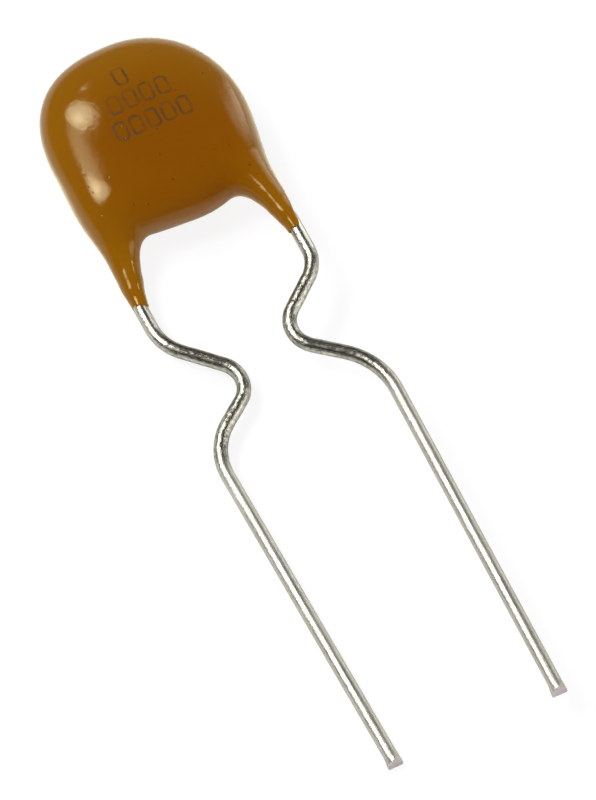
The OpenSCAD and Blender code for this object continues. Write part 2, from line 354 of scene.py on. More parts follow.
def mark_row_group():
    """A row of small open boxes, the plain stand-in for printing."""
    shader, given, out = new_group(
        "mark row",
        [
            ("Across", FLOAT, 0.0),
            ("Up", FLOAT, 0.0),
            ("First", FLOAT, 0.0),
            ("Row", FLOAT, 0.0),
            ("Pitch", FLOAT, 0.0006),
            ("Count", FLOAT, 4.0),
            ("Half Width", FLOAT, 0.0002),
            ("Half Height", FLOAT, 0.0003),
            ("Corner", FLOAT, 0.0001),
            ("Stroke", FLOAT, 0.00009),
        ],
        [("Mask", FLOAT)],
    )
    calc = shader.math
    start = calc("SUBTRACT", given["Across"], given["First"])
    steps = calc("DIVIDE", start, given["Pitch"])
    cell = calc("ROUND", steps)
    last = calc("SUBTRACT", given["Count"], 1.0)
    held = calc("MINIMUM", calc("MAXIMUM", cell, 0.0), last)
    local = calc("MULTIPLY", calc("SUBTRACT", steps, held), given["Pitch"])
    side = calc("SUBTRACT", calc("ABSOLUTE", local), given["Half Width"])
    side = calc("ADD", side, given["Corner"])
    rise = calc("SUBTRACT", given["Up"], given["Row"])
    end = calc("SUBTRACT", calc("ABSOLUTE", rise), given["Half Height"])
    end = calc("ADD", end, given["Corner"])
    past_side = calc("MAXIMUM", side, 0.0)
    past_end = calc("MAXIMUM", end, 0.0)
    squares = calc("MULTIPLY", past_side, past_side)
    squares = calc("MULTIPLY_ADD", past_end, past_end, squares)
    inward = calc("MINIMUM", calc("MAXIMUM", side, end), 0.0)
    edge = calc("ADD", calc("SQRT", squares), inward)
    edge = calc("ABSOLUTE", calc("SUBTRACT", edge, given["Corner"]))
    line = calc("SUBTRACT", 1.0, calc("DIVIDE", edge, given["Stroke"]), clamp=True)
    shader.tree.links.new(line, out["Mask"])


def new_material(name):
    material = bpy.data.materials.new(name)
    material.use_nodes = True
    shader = Shader(material.node_tree)
    shader.nodes.clear()
    where = shader.add("ShaderNodeTexCoord").outputs["Object"]
    surface = shader.add("ShaderNodeBsdfPrincipled")
    end = shader.add("ShaderNodeOutputMaterial")
    shader.tree.links.new(surface.outputs[0], end.inputs["Surface"])
    return material, shader, where, surface


def bump(shader, height, strength, distance):
    return shader.add(
        "ShaderNodeBump", {"Height": height, "Strength": strength, "Distance": distance}
    ).outputs[0]


# ---- Materials ----


def resin_material(coat, rest):
    """Glossy ochre resin with pits and worn plain marks, and with painted light and shade across the body.
    """
    material, shader, where, surface = new_material("ochre resin")
    link = shader.tree.links.new
    mottle = shader.group("mottling", Where=where, Drift_Scale=260.0, Grain_Scale=5200.0, Grain_Share=0.22)
    pits = shader.group("specks", Where=where, Scale=2600.0, Size=0.12, Share=0.5)["Mask"]
    # Painted light and shade: the resin is darkest round a point in the lower middle of the face and grows
    # lighter towards the top, the rim and the legs. The mottling adds random tone on top.
    painted_shade_centre = tuple(rest.place([0.3, -1.3, FACE_HEIGHT]))
    thin = shader.ramp(shader.vector("DISTANCE", where, painted_shade_centre), 1.9 * MM, 4.6 * MM, 0.0, 0.8)
    thin = shader.math("MULTIPLY_ADD", mottle["Mask"], 0.25, thin)
    base = shader.mix(thin, coat.resin_painted_shade, coat.resin)
    # Painted shade: the pits are coloured near black, as shade in their hollows.
    pit_painted_shade = (0.05, 0.018, 0.002, 1.0)
    base = shader.mix(shader.math("MULTIPLY", pits, 0.75), base, pit_painted_shade)
    ink = ink_mask(shader, where, rest)
    base = shader.mix(ink, base, coat.ink)
    link(base, surface.inputs["Base Color"])
    surface.inputs["IOR"].default_value = 1.34
    surface.inputs["Specular Tint"].default_value = (1.0, 0.91, 0.55, 1.0)
    surface.inputs["Sheen Weight"].default_value = 1.0
    surface.inputs["Sheen Roughness"].default_value = 0.33
    surface.inputs["Sheen Tint"].default_value = (1.0, 0.95, 0.5, 1.0)
    rough = shader.ramp(mottle["Grain"], 0.3, 0.7, 0.05, 0.1)
    rough = shader.math("MULTIPLY_ADD", ink, 0.2, rough)
    link(rough, surface.inputs["Roughness"])
    height = shader.math("MULTIPLY_ADD", pits, -2.0, mottle["Grain"])
    link(bump(shader, height, 0.22, 0.00002), surface.inputs["Normal"])
    return material


def ink_mask(shader, where, rest):
    """Three rows of open boxes on the front face, broken up as worn ink is."""
    wobble_reach = 0.09 * MM
    wobble = shader.add("ShaderNodeTexNoise", {"Vector": where, "Scale": 2600.0, "Detail": 2.0})
    wobble = shader.vector("SUBTRACT", wobble.outputs["Color"], (0.5, 0.5, 0.5))
    warped = shader.vector("ADD", where, shader.vector("SCALE", wobble, wobble_reach))
    across, up, _ = shader.add("ShaderNodeSeparateXYZ", {0: warped}).outputs
    origin = rest.place([0.0, 0.0, FACE_HEIGHT])
    across = shader.math("SUBTRACT", across, origin[0])
    up = shader.math("SUBTRACT", up, origin[1])
    # First mark, height of the row, pitch and number of marks
    rows = (
        (-0.95, 0.08, 0.6, 5),
        (-0.72, 1.11, 0.61, 4),
        (-0.05, 2.09, 0.6, 1),
    )
    mask = None
    for first, row, pitch, count in rows:
        one = shader.group(
            "mark row",
            Across=across,
            Up=up,
            First=first * MM,
            Row=row * MM,
            Pitch=pitch * MM,
            Count=float(count),
            Half_Width=0.2 * MM,
            Half_Height=0.34 * MM,
            Corner=0.13 * MM,
            Stroke=0.09 * MM,
        )["Mask"]
        mask = one if mask is None else shader.math("MAXIMUM", mask, one)
    line = shader.ramp(mask, 0.25, 0.7)
    worn = shader.ramp(shader.noise(where, 2400.0, 4.0, 0.65), 0.4, 0.58, 0.3, 0.85)
    front = shader.add("ShaderNodeSeparateXYZ", {0: where}).outputs[2]
    front = shader.math("GREATER_THAN", front, float(origin[2]) - 0.9 * MM)
    return shader.math("MULTIPLY", shader.math("MULTIPLY", line, worn), front)


def tin_material(leads):
    """Drawn and tinned wire, streaked along its length and scuffed where it was gripped."""
    material, shader, where, surface = new_material("tinned wire")
    link, calc = shader.tree.links.new, shader.math
    along, around, gripped = (
        shader.add("ShaderNodeAttribute", attribute_name=name).outputs["Fac"]
        for name in ("along", "around", "gripped")
    )
    mottle = shader.group("mottling", Where=where, Drift_Scale=900.0, Grain_Scale=14000.0, Grain_Share=0.4)
    turn = calc("MULTIPLY", around, 2 * math.pi)
    streaks_round, streaks_along = 7.0, 500.0
    streak_at = shader.add(
        "ShaderNodeCombineXYZ",
        {
            0: calc("MULTIPLY", calc("COSINE", turn), streaks_round),
            1: calc("MULTIPLY", calc("SINE", turn), streaks_round),
            2: calc("MULTIPLY", along, streaks_along),
        },
    ).outputs[0]
    streak = shader.noise(streak_at, 1.0, 4.0, 0.65)
    dull = calc("MULTIPLY", mottle["Mask"], 0.5)
    dull = calc("MULTIPLY_ADD", gripped, 0.25, dull, clamp=True)
    base = shader.mix(dull, leads.tin, (0.43, 0.412, 0.34, 1.0))
    scuffs = shader.ramp(shader.noise(where, 8000.0, 3.0, 0.65), 0.42, 0.6, 0.0, 0.75)
    base = shader.mix(calc("MULTIPLY", scuffs, gripped), base, (0.23, 0.225, 0.18, 1.0))
    link(base, surface.inputs["Base Color"])
    surface.inputs["Metallic"].default_value = 1.0
    surface.inputs["Specular Tint"].default_value = (0.3, 0.3, 0.3, 1.0)
    shiny_to, duller_from = 7.8 * MM, 9.4 * MM
    rough = shader.ramp(along, shiny_to, duller_from, 0.2, 0.36)
    rough = calc("ADD", rough, shader.ramp(streak, 0.3, 0.7, -0.05, 0.07))
    rough = calc("MULTIPLY_ADD", gripped, -0.12, rough)
    link(rough, surface.inputs["Roughness"])
    fine = calc("MULTIPLY", mottle["Grain"], calc("MULTIPLY_ADD", gripped, 0.7, 0.15))
    dents = calc("MULTIPLY", gripped, 0.8)
    dents = calc("MULTIPLY", shader.noise(where, 6000.0, 2.0), dents)
    height = calc("MULTIPLY_ADD", streak, 0.9, calc("ADD", fine, dents))
    link(bump(shader, height, 1.0, 0.00001), surface.inputs["Normal"])
    return material


def sheared_material():
    """The snipped face of a tip, torn and dull."""
    material, shader, where, surface = new_material("sheared wire")
    link = shader.tree.links.new
    mottle = shader.group("mottling", Where=where, Drift_Scale=3000.0, Grain_Scale=16000.0, Grain_Share=0.6)
    torn = shader.mix(mottle["Mask"], (0.42, 0.36, 0.36, 1.0), (0.58, 0.53, 0.53, 1.0))
    link(torn, surface.inputs["Base Color"])
    surface.inputs["Metallic"].default_value = 0.7
    link(shader.ramp(mottle["Grain"], 0.3, 0.7, 0.45, 0.65), surface.inputs["Roughness"])
    link(bump(shader, mottle["Grain"], 0.4, 0.00001), surface.inputs["Normal"])
    return material


def inner_material(name, dark, light, metallic, rough, drift):
    """Finish of a piece inside the coating."""
    material, shader, where, surface = new_material(name)
    link = shader.tree.links.new
    grain = drift * 12
    mottle = shader.group("mottling", Where=where, Drift_Scale=drift, Grain_Scale=grain, Grain_Share=0.4)
    link(shader.mix(mottle["Mask"], (*dark, 1.0), (*light, 1.0)), surface.inputs["Base Color"])
    surface.inputs["Metallic"].default_value = metallic
    link(shader.ramp(mottle["Grain"], 0.3, 0.7, rough - 0.06, rough + 0.08), surface.inputs["Roughness"])
    link(bump(shader, mottle["Grain"], 0.3, 0.00001), surface.inputs["Normal"])
    return material


def floor_material():
    """Pale floor that stays white to the camera and keeps the part's soft shadow."""
    material = bpy.data.materials.new("pale floor")
    material.use_nodes = True
    shader = Shader(material.node_tree)
    shader.nodes.clear()
    link, calc = shader.tree.links.new, shader.math
    where = shader.add("ShaderNodeTexCoord").outputs["Object"]
    reach = shader.vector("LENGTH", where)
    path = shader.add("ShaderNodeLightPath").outputs
    pale = 0.88
    near = shader.ramp(reach, 40 * MM, 300 * MM, 1.0, 0.0)
    lit = calc("MULTIPLY", near, calc("MULTIPLY_ADD", path["Is Glossy Ray"], 0.8, 0.16))
    white = shader.ramp(reach, 25 * MM, 200 * MM, 1.0, 0.6)
    plain = shader.add("ShaderNodeBsdfDiffuse", {"Color": (pale, pale, pale, 1.0)}).outputs[0]
    grey = shader.add("ShaderNodeCombineColor", {0: lit, 1: lit, 2: lit}).outputs[0]
    shaded = shader.add("ShaderNodeBsdfDiffuse", {"Color": grey}).outputs[0]
    unlit = calc("MULTIPLY_ADD", lit, -pale, 1.0)
    strength = calc("MULTIPLY", unlit, white)
    glow = shader.add("ShaderNodeEmission", {"Strength": strength}).outputs[0]
    seen = shader.add("ShaderNodeAddShader", {0: shaded, 1: glow}).outputs[0]
    shown = calc("MAXIMUM", path["Is Camera Ray"], path["Is Glossy Ray"])
    shown = calc("MAXIMUM", shown, path["Is Transmission Ray"])
    both = shader.add("ShaderNodeMixShader", {0: shown, 1: plain, 2: seen}).outputs[0]
    end = shader.add("ShaderNodeOutputMaterial")
    link(both, end.inputs["Surface"])
    return material


# ---- Coating ----


class CoatForm:
    """The outside of the coating, as a value that is negative inside it, in millimetres."""

    def __init__(self, coat, leads):
        self.c = coat
        self.wire_r = leads.wire_d / 2
        self.lead_z = leads.lead_z
        self.half_pitch = leads.lead_pitch / 2

    def pillow(self, p):
        c = self.c
        x, y, z = p[..., 0] - c.body_shift, p[..., 1], np.abs(p[..., 2])
        left, high = x < 0, y > 0
        top_n = np.where(left, c.left_top_squareness, c.right_top_squareness)
        low_n = np.where(left, c.left_low_squareness, c.right_low_squareness)
        n = np.where(high, top_n, low_n)
        reach = np.where(high, c.body_top, c.body_bottom + c.underside_slope * x)
        across, along = np.abs(x) / (c.body_w / 2), np.abs(y) / reach
        plan = (across**n + along**n + 1e-12) ** (1 / n)
        f = c.face_flatness
        level = (plan**f + (z / (c.body_t / 2)) ** f) ** (1 / f)
        return (level - 1) * c.body_w / 4

    def sleeve(self, p, side):
        c = self.c
        end, lean = own(c, side, "sleeve_end"), own(c, side, "sleeve_lean")
        y = p[..., 1]
        down = np.clip((-y - c.sleeve_root) / (end - c.sleeve_root), 0, 1)
        rest = (1 - down) ** c.sleeve_taper
        over = np.maximum(y + c.sleeve_root, 0) * c.sleeve_root_r / c.sleeve_fade
        dx = p[..., 0] - side * (self.half_pitch - lean * rest)
        offset = self.lead_z - (self.lead_z - c.sleeve_root_z) * (1 - down) ** 2
        dz = p[..., 2] - side * offset
        tip_r = self.wire_r + c.sleeve_wall
        r = tip_r + (c.sleeve_root_r - tip_r) * rest
        return np.sqrt(dx**2 + dz**2 + over**2) - r

    @staticmethod
    def flow_together(a, b, flow):
        share = np.clip(0.5 + 0.5 * (b - a) / flow, 0, 1)
        return b * (1 - share) + a * share - flow * share * (1 - share)

    def value(self, p):
        c = self.c
        joined = self.flow_together(self.pillow(p), self.sleeve(p, LEFT), c.left_flow)
        return self.flow_together(joined, self.sleeve(p, RIGHT), c.right_flow)

    def between(self, inside, outside, steps=24):
        """Points where the lines from inside to outside meet the surface."""
        inside, outside = inside.copy(), outside.copy()
        for _ in range(steps):
            middle = (inside + outside) / 2
            inner = (self.value(middle) < 0)[..., None]
            inside = np.where(inner, middle, inside)
            outside = np.where(inner, outside, middle)
        return (inside + outside) / 2

    def rings(self, fan_steps, leg_steps, ring_points):
        """Rings of points from the end of the left leg, round the body and down the right leg."""
        c = self.c
        leg_below_hub, spine_inset = 0.6, 0.05
        hub = -(min(c.left_sleeve_end, c.right_sleeve_end) - leg_below_hub)
        legs = np.linspace(0, 1, leg_steps, endpoint=False)
        left = -c.left_sleeve_end + (hub + c.left_sleeve_end) * legs
        right = (-c.right_sleeve_end + (hub + c.right_sleeve_end) * legs)[::-1]
        hub_y = np.concatenate([left, np.full(fan_steps + 1, hub), right])
        fan = np.pi * (1 - np.arange(fan_steps + 1) / fan_steps)
        angle = np.concatenate([np.full(leg_steps, np.pi), fan, np.zeros(leg_steps)])
        out = np.stack([np.cos(angle), np.sin(angle), 0 * angle], -1)
        seed = np.stack([0 * angle, hub_y, self.lead_z * np.cos(angle)], -1)
        spine_w, spine_h = self.half_pitch - spine_inset, -hub
        spine = ((np.abs(out[:, 0]) / spine_w) ** 3 + (np.abs(out[:, 1]) / spine_h) ** 3) ** (-1 / 3)
        inside = seed + spine[:, None] * out
        inner = self.between(inside, seed)
        outer = self.between(inside, inside + c.body_w * out)
        centre = (inner + outer) / 2
        half_w = np.linalg.norm(outer - inner, axis=1) / 2
        up = np.array([0, 0, 1.0])
        half_t = np.linalg.norm(self.between(centre, centre + c.body_t * up) - centre, axis=1)
        a = 2 * np.pi * np.arange(ring_points) / ring_points
        ray = (
            (half_w[:, None] * np.cos(a))[..., None] * out[:, None]
            + (half_t[:, None] * np.sin(a))[..., None] * up
        )
        start = np.repeat(centre[:, None], ring_points, axis=1)
        return self.between(start, start + 2 * ray)


def smooth(value, low, high):
    t = np.clip((value - low) / (high - low), 0, 1)
    return t * t * (3 - 2 * t)


def leg_ends(points, form, side):
    """Draws the coating back on the outer side of a lead and thins it down onto the wire there."""
    c = form.c
    drawn_over, thinned_over, lump_depth = 1.6, 0.7, 0.015
    end = -own(c, side, "sleeve_end")
    axis = np.array([side * form.half_pitch, side * form.lead_z])
    rel = points[..., [0, 2]] - axis
    outward = side * rel[..., 0] / np.maximum(np.hypot(*np.moveaxis(rel, -1, 0)), 1e-6)
    around = np.arctan2(rel[..., 1], rel[..., 0])
    bare = smooth(outward, *pick(side, (-0.6, 1.0), (0.3, 0.92)))
    lift = pick(side, 0.12, 0.95) * bare
    lift = lift + 0.025 * np.sin(5 * around + 1.3) + 0.015 * np.sin(9 * around + side)
    here = np.sign(points[..., 0]) == side
    near = (1 - smooth(points[..., 1], end, end + drawn_over)) * here
    points[..., 1] += lift * near
    above = points[..., 1] - end - lift
    thin = 0.8 * bare * (1 - smooth(above, 0.0, thinned_over)) * here * (near > 0)
    radius = np.hypot(*np.moveaxis(rel, -1, 0))
    share = 1 - thin * np.clip(1 - form.wire_r / np.maximum(radius, 1e-6), 0, 1)
    lumps = np.sin(6.3 * points[..., 1] + side) + 0.6 * np.sin(10.7 * points[..., 1] + 2 * around)
    low = 1 - smooth(points[..., 1], end + 0.9, end + 2.0)
    share = share + lump_depth * lumps * here * low * smooth(above, 0.0, 0.4)
    points[..., 0] = np.where(here, axis[0] + rel[..., 0] * share, points[..., 0])
    points[..., 2] = np.where(here, axis[1] + rel[..., 1] * share, points[..., 2])
    return points


def new_mesh(name, points, faces):
    """A smoothly shaded mesh."""
    mesh = bpy.data.meshes.new(name)
    mesh.from_pydata(points, [], faces)
    mesh.validate()
    mesh.polygons.foreach_set("use_smooth", [True] * len(mesh.polygons))
    return mesh


def mesh_from_rings(name, rings):
    """A closed skin through rings of points in metres, with a point in the middle of each end."""
    count, n, _ = rings.shape
    points = rings.reshape(-1, 3)
    ends = np.array([rings[0].mean(0), rings[-1].mean(0)])
    first, last = count * n, count * n + 1
    i, j = np.meshgrid(np.arange(count - 1), np.arange(n), indexing="ij")
    k = (j + 1) % n
    walls = np.stack([i * n + j, i * n + k, (i + 1) * n + k, (i + 1) * n + j], -1).reshape(-1, 4)
    j = np.arange(n)
    k = (j + 1) % n
    caps = np.concatenate(
        [
            np.stack([np.full(n, first), k, j], -1),
            np.stack([np.full(n, last), (count - 1) * n + j, (count - 1) * n + k], -1),
        ]
    )
    faces = walls.tolist() + caps.tolist()
    return new_mesh(name, np.concatenate([points, ends]).tolist(), faces)


def link_object(name, mesh):
    made = bpy.data.objects.new(name, mesh)
    bpy.context.scene.collection.objects.link(made)
    return made


class FUSE_OT_coating(bpy.types.Operator):
    """Build the dipped coating as one smooth skin with drawn-down legs"""

    bl_idname = "fuse.coating"
    bl_label = "Dipped coating"

    def execute(self, context):
        coat, leads, rest = setup()
        form = CoatForm(coat, leads)
        rings = form.rings(fan_steps=300, leg_steps=24, ring_points=144)
        for side in (LEFT, RIGHT):
            rings = leg_ends(rings, form, side)
        ends = []
        for index, side in ((0, LEFT), (-1, RIGHT)):
            edge = rings[index]
            axis = np.array([side * form.half_pitch, 0, side * form.lead_z])
            rel = (edge - axis) * np.array([1, 0, 1])
            for share, drop in ((0.93, 0.02), (0.82, 0.035), (0.7, 0.035)):
                lip = axis + rel * share + edge * np.array([0, 1, 0]) - np.array([0, drop, 0])
                ends.append((side, lip))
        first = [lip for side, lip in ends if side == LEFT][::-1]
        last = [lip for side, lip in ends if side == RIGHT]
        rings = np.concatenate([np.array(first), rings, np.array(last)])
        mesh = mesh_from_rings("dipped_coating", rest.place(rings))
        mesh.materials.append(resin_material(coat, rest))
        made = link_object("dipped_coating", mesh)
        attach(made, "root")
        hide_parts("coating")
        return {"FINISHED"}


# ---- Leads ----


def route_points(leads, side, step=0.03):
    """The centre line of a lead as close points, with how strongly the bending tool gripped it there."""
    corner = np.array(
        [
            [leads.chip_lead_pitch / 2, leads.solder_top],
            [leads.chip_lead_pitch / 2, -leads.spread_top],
            [leads.lead_pitch / 2, -leads.spread_low],
            [leads.lead_pitch / 2, -leads.kink_top],
            [leads.kink_gap / 2, -own(leads, side, "kink_middle")],
            [own(leads, side, "foot_out"), -leads.kink_low],
            [own(leads, side, "tip_out"), -own(leads, side, "lead_end")],
        ]
    )
    bends = [
        0,
        leads.spread_bend_r,
        leads.spread_bend_r,
        own(leads, side, "top_bend_r"),
        leads.middle_bend_r,
        own(leads, side, "low_bend_r"),
        0,
    ]
    bend_steps = 12
    line = [corner[0]]
    for i in range(1, len(corner) - 1):
        before = corner[i] - corner[i - 1]
        after = corner[i + 1] - corner[i]
        before, after = before / np.linalg.norm(before), after / np.linalg.norm(after)
        turn = math.atan2(before[0] * after[1] - before[1] * after[0], before @ after)
        start = corner[i] - before * bends[i] * math.tan(abs(turn) / 2)
        hand = 1 if turn > 0 else -1
        centre = start + hand * bends[i] * np.array([-before[1], before[0]])
        heading = math.atan2(*(start - centre)[::-1])
        for share in np.linspace(0, 1, bend_steps):
            at = heading + turn * share
            line.append(centre + bends[i] * np.array([math.cos(at), math.sin(at)]))
    last = corner[-1] - corner[-2]
    line.append(corner[-1] - last / np.linalg.norm(last) * own(leads, side, "nip"))
    line = np.array(line)
    gaps = np.linalg.norm(np.diff(line, axis=0), axis=1)
    reach = np.concatenate([[0], np.cumsum(gaps)])
    at = np.linspace(0, reach[-1], int(reach[-1] / step))
    flat = np.stack([np.interp(at, reach, line[:, k]) for k in (0, 1)], -1)
    y = flat[:, 1]
    grip = smooth(-y, leads.kink_top - 1.2, leads.kink_top + 0.6) * (
        1 - smooth(-y, leads.kink_low, leads.kink_low + 1.6)
    )
    points = np.stack([side * flat[:, 0], y, np.full(len(y), side * leads.lead_z)], -1)
    return points, grip


def wire_tree():
    """Geometry Nodes that sweep a round wire along a path and press tool marks into it."""
    tree = bpy.data.node_groups.new("drawn wire", "GeometryNodeTree")
    face = tree.interface
    face.new_socket("Path", in_out="INPUT", socket_type="NodeSocketGeometry")
    for name, kind, value in (
        ("Radius", FLOAT, 0.00025),
        ("Sides", "NodeSocketInt", 36),
        ("Step", FLOAT, 0.00005),
        ("Mark Depth", FLOAT, 0.00001),
        ("Mark Scale", FLOAT, 3000.0),
        ("Seed", FLOAT, 0.0),
        ("Finish", "NodeSocketMaterial", None),
    ):
        socket = face.new_socket(name, in_out="INPUT", socket_type=kind)
        if value is not None:
            socket.default_value = value
    face.new_socket("Wire", in_out="OUTPUT", socket_type="NodeSocketGeometry")
    shader = Shader(tree)
    add = shader.add
    given = add("NodeGroupInput").outputs

    def store(geometry, name, value):
        inputs = {"Geometry": geometry, "Name": name, "Value": value}
        return add("GeometryNodeStoreNamedAttribute", inputs, data_type="FLOAT", domain="POINT").outputs[0]

    curve = add("GeometryNodeMeshToCurve", {"Mesh": given["Path"]}).outputs[0]
    inputs = {"Curve": curve, "Length": given["Step"]}
    curve = add("GeometryNodeResampleCurve", inputs, mode="LENGTH").outputs[0]
    curve = add("GeometryNodeSetCurveNormal", {"Curve": curve}, mode="Z_UP").outputs[0]
    curve = store(curve, "along", add("GeometryNodeSplineParameter").outputs["Length"])
    inputs = {"Resolution": given["Sides"], "Radius": given["Radius"]}
    profile = add("GeometryNodeCurvePrimitiveCircle", inputs).outputs[0]
    profile = store(profile, "around", add("GeometryNodeSplineParameter").outputs["Factor"])
    inputs = {"Curve": curve, "Profile Curve": profile, "Fill Caps": True}
    wire = add("GeometryNodeCurveToMesh", inputs).outputs[0]
    place = add("GeometryNodeInputPosition").outputs[0]
    noise = add(
        "ShaderNodeTexNoise",
        {"Vector": place, "W": given["Seed"], "Scale": given["Mark Scale"], "Detail": 3.0, "Roughness": 0.6},
        noise_dimensions="4D",
    ).outputs["Fac"]
    centred = shader.math("SUBTRACT", noise, 0.5)
    grip = add("GeometryNodeInputNamedAttribute", {"Name": "gripped"}, data_type="FLOAT").outputs[0]
    grip = shader.math("MULTIPLY_ADD", grip, 0.9, 0.1)
    depth = shader.math("MULTIPLY", shader.math("MULTIPLY", centred, grip), given["Mark Depth"])
    push = shader.vector("SCALE", add("GeometryNodeInputNormal").outputs[0], depth)
    wire = add("GeometryNodeSetPosition", {"Geometry": wire, "Offset": push}).outputs[0]
    wire = add("GeometryNodeRealizeInstances", {"Geometry": wire}).outputs[0]
    wire = add("GeometryNodeSetShadeSmooth", {"Geometry": wire}).outputs[0]
    wire = add("GeometryNodeSetMaterial", {"Geometry": wire, "Material": given["Finish"]}).outputs[0]
    add("NodeGroupOutput", {"Wire": wire})
    return tree


def swept_wire(name, tree, points, grip, **inputs):
    """Sweeps a wire along the points, in metres, and returns it as a plain mesh object."""
    mesh = bpy.data.meshes.new(name + "_path")
    edges = [(i, i + 1) for i in range(len(points) - 1)]
    mesh.from_pydata(points.tolist(), edges, [])
    held = mesh.attributes.new("gripped", "FLOAT", "POINT")
    held.data.foreach_set("value", grip.astype(np.float32))
    path = link_object(name + "_path", mesh)
    modifier = path.modifiers.new("wire", "NODES")
    modifier.node_group = tree
    sockets = {s.name: s.identifier for s in tree.interface.items_tree if s.in_out == "INPUT"}
    for key, value in inputs.items():
        modifier[sockets[key.replace("_", " ")]] = value
    bpy.context.view_layer.update()
    graph = bpy.context.evaluated_depsgraph_get()
    swept = bpy.data.meshes.new_from_object(path.evaluated_get(graph), depsgraph=graph)
    swept.name = name
    path.modifiers.remove(modifier)
    bpy.data.objects.remove(path)
    bpy.data.meshes.remove(mesh)
    return link_object(name, swept)


def pinch_tip(made, points, leads, sheared):
    """Squares off the wire's end as the snips left it, flat and wide below, and slants the cut."""
    mesh = made.data
    tip, before = points[-1] / MM, points[-20] / MM
    way = (tip - before) / np.linalg.norm(tip - before)
    across = np.cross(way, [0, 0, 1.0])
    across /= np.linalg.norm(across)
    up = np.cross(across, way)
    co = np.zeros(len(mesh.vertices) * 3, np.float32)
    mesh.vertices.foreach_get("co", co)
    co = co.reshape(-1, 3).astype(float) / MM
    rel = co - tip
    back, side, rise = -rel @ way, rel @ across, rel @ up
    r = leads.wire_d / 2
    tip_zone, pinched_over, slanted_over = 2.0, 0.42, 0.3
    close = np.linalg.norm(rel, axis=1) < tip_zone
    share = (1 - smooth(back, 0.0, pinched_over)) * close
    low = smooth(-rise / r, -0.3, 0.5)
    wide = 1.04 + 0.14 * low - 0.3 * smooth(rise / r, 0.2, 1.0)
    boxy = np.sign(side) * r * wide * np.clip(np.abs(side / r), 0, 1) ** (1 - 0.8 * low)
    new_side = side + (boxy - side) * share
    pressed = np.maximum(rise, -0.8 * r)
    new_rise = rise + (pressed - rise) * share
    lean = math.tan(leads.tip_slant) * new_rise
    new_back = back + lean * (1 - smooth(back, 0.0, slanted_over)) * close
    moved = tip - new_back[:, None] * way + new_side[:, None] * across + new_rise[:, None] * up
    moved[~close] = co[~close]
    mesh.vertices.foreach_set("co", (moved * MM).astype(np.float32).ravel())
    mesh.materials.append(sheared)
    for face in mesh.polygons:
        if len(face.vertices) > 4:
            face.material_index = 1
            face.use_smooth = False
    mesh.update()


class FUSE_OT_leads(bpy.types.Operator):
    """Sweep both tinned leads along their kinked routes and snip their tips"""

    bl_idname = "fuse.leads"
    bl_label = "Tinned leads"

    def execute(self, context):
        _, leads, rest = setup()
        tree = wire_tree()
        tin, sheared = tin_material(leads), sheared_material()
        for side, node in ((LEFT, "back_lead"), (RIGHT, "front_lead")):
            points, grip = route_points(leads, side)
            placed = rest.place(points)
            made = swept_wire(
                "tinned_" + node,
                tree,
                placed,
                grip,
                Radius=leads.wire_d / 2 * MM,
                Sides=40,
                Step=0.04 * MM,
                Mark_Depth=leads.tool_marks * MM,
                Mark_Scale=3200.0,
                Seed=float(side + 2),
                Finish=tin,
            )
            pinch_tip(made, placed, leads, sheared)
            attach(made, "root")
            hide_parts(node)
        return {"FINISHED"}


class FUSE_OT_inside(bpy.types.Operator):
    """Finish the chip, foils and solder joints inside the coating"""

    bl_idname = "fuse.inside"
    bl_label = "Chip, foils and solder"

    def execute(self, context):
        black, grey = (0.012, 0.012, 0.012), (0.03, 0.029, 0.028)
        polymer = inner_material("carbon polymer", black, grey, 0.0, 0.62, 700.0)
        foil = inner_material("nickel foil", (0.52, 0.50, 0.46), (0.66, 0.64, 0.60), 1.0, 0.38, 1200.0)
        solder = inner_material("solder", (0.50, 0.50, 0.51), (0.64, 0.64, 0.65), 1.0, 0.3, 1600.0)
        finishes = {
            "polymer_chip": polymer,
            "front_foil": foil,
            "back_foil": foil,
            "front_solder": solder,
            "back_solder": solder,
        }
        for node, finish in finishes.items():
            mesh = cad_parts[node].data
            mesh.materials.clear()
            mesh.materials.append(finish)
        return {"FINISHED"}


# ---- Stage ----


def lamp(rest, studio, name, direction, wide, size, brightness, plateau, reflects=True):
    """A soft oval lamp that faces the part, long along wide, and fades out beyond its plateau."""
    data = bpy.data.lights.new(name, "AREA")
    data.shape = "ELLIPSE"
    data.size, data.size_y = size[0] * MM, size[1] * MM
    data.energy = brightness * math.pi * math.pi / 4 * data.size * data.size_y
    data.use_nodes = True
    shader = Shader(data.node_tree)
    spot = shader.add("ShaderNodeNewGeometry").outputs["Parametric"]
    reach = shader.vector("LENGTH", shader.vector("SUBTRACT", spot, (0.5, 0.5, 0.0)))
    glow = shader.ramp(reach, plateau / 2, 0.5, 1.0, 0.0)
    shader.tree.links.new(glow, shader.nodes["Emission"].inputs["Strength"])
    facing = Vector(rest.direction(direction)).normalized()
    across = Vector(rest.direction(wide))
    across = (across - facing * across.dot(facing)).normalized()
    turn = Matrix((across, facing.cross(across), facing)).transposed()
    place = Vector(rest.place([0.0, 0.0, 0.0])) + facing * studio.lamp_distance * MM
    made = bpy.data.objects.new(name, data)
    bpy.context.scene.collection.objects.link(made)
    made.matrix_world = Matrix.Translation(place) @ turn.to_4x4()
    made.visible_camera = False
    made.visible_glossy = reflects


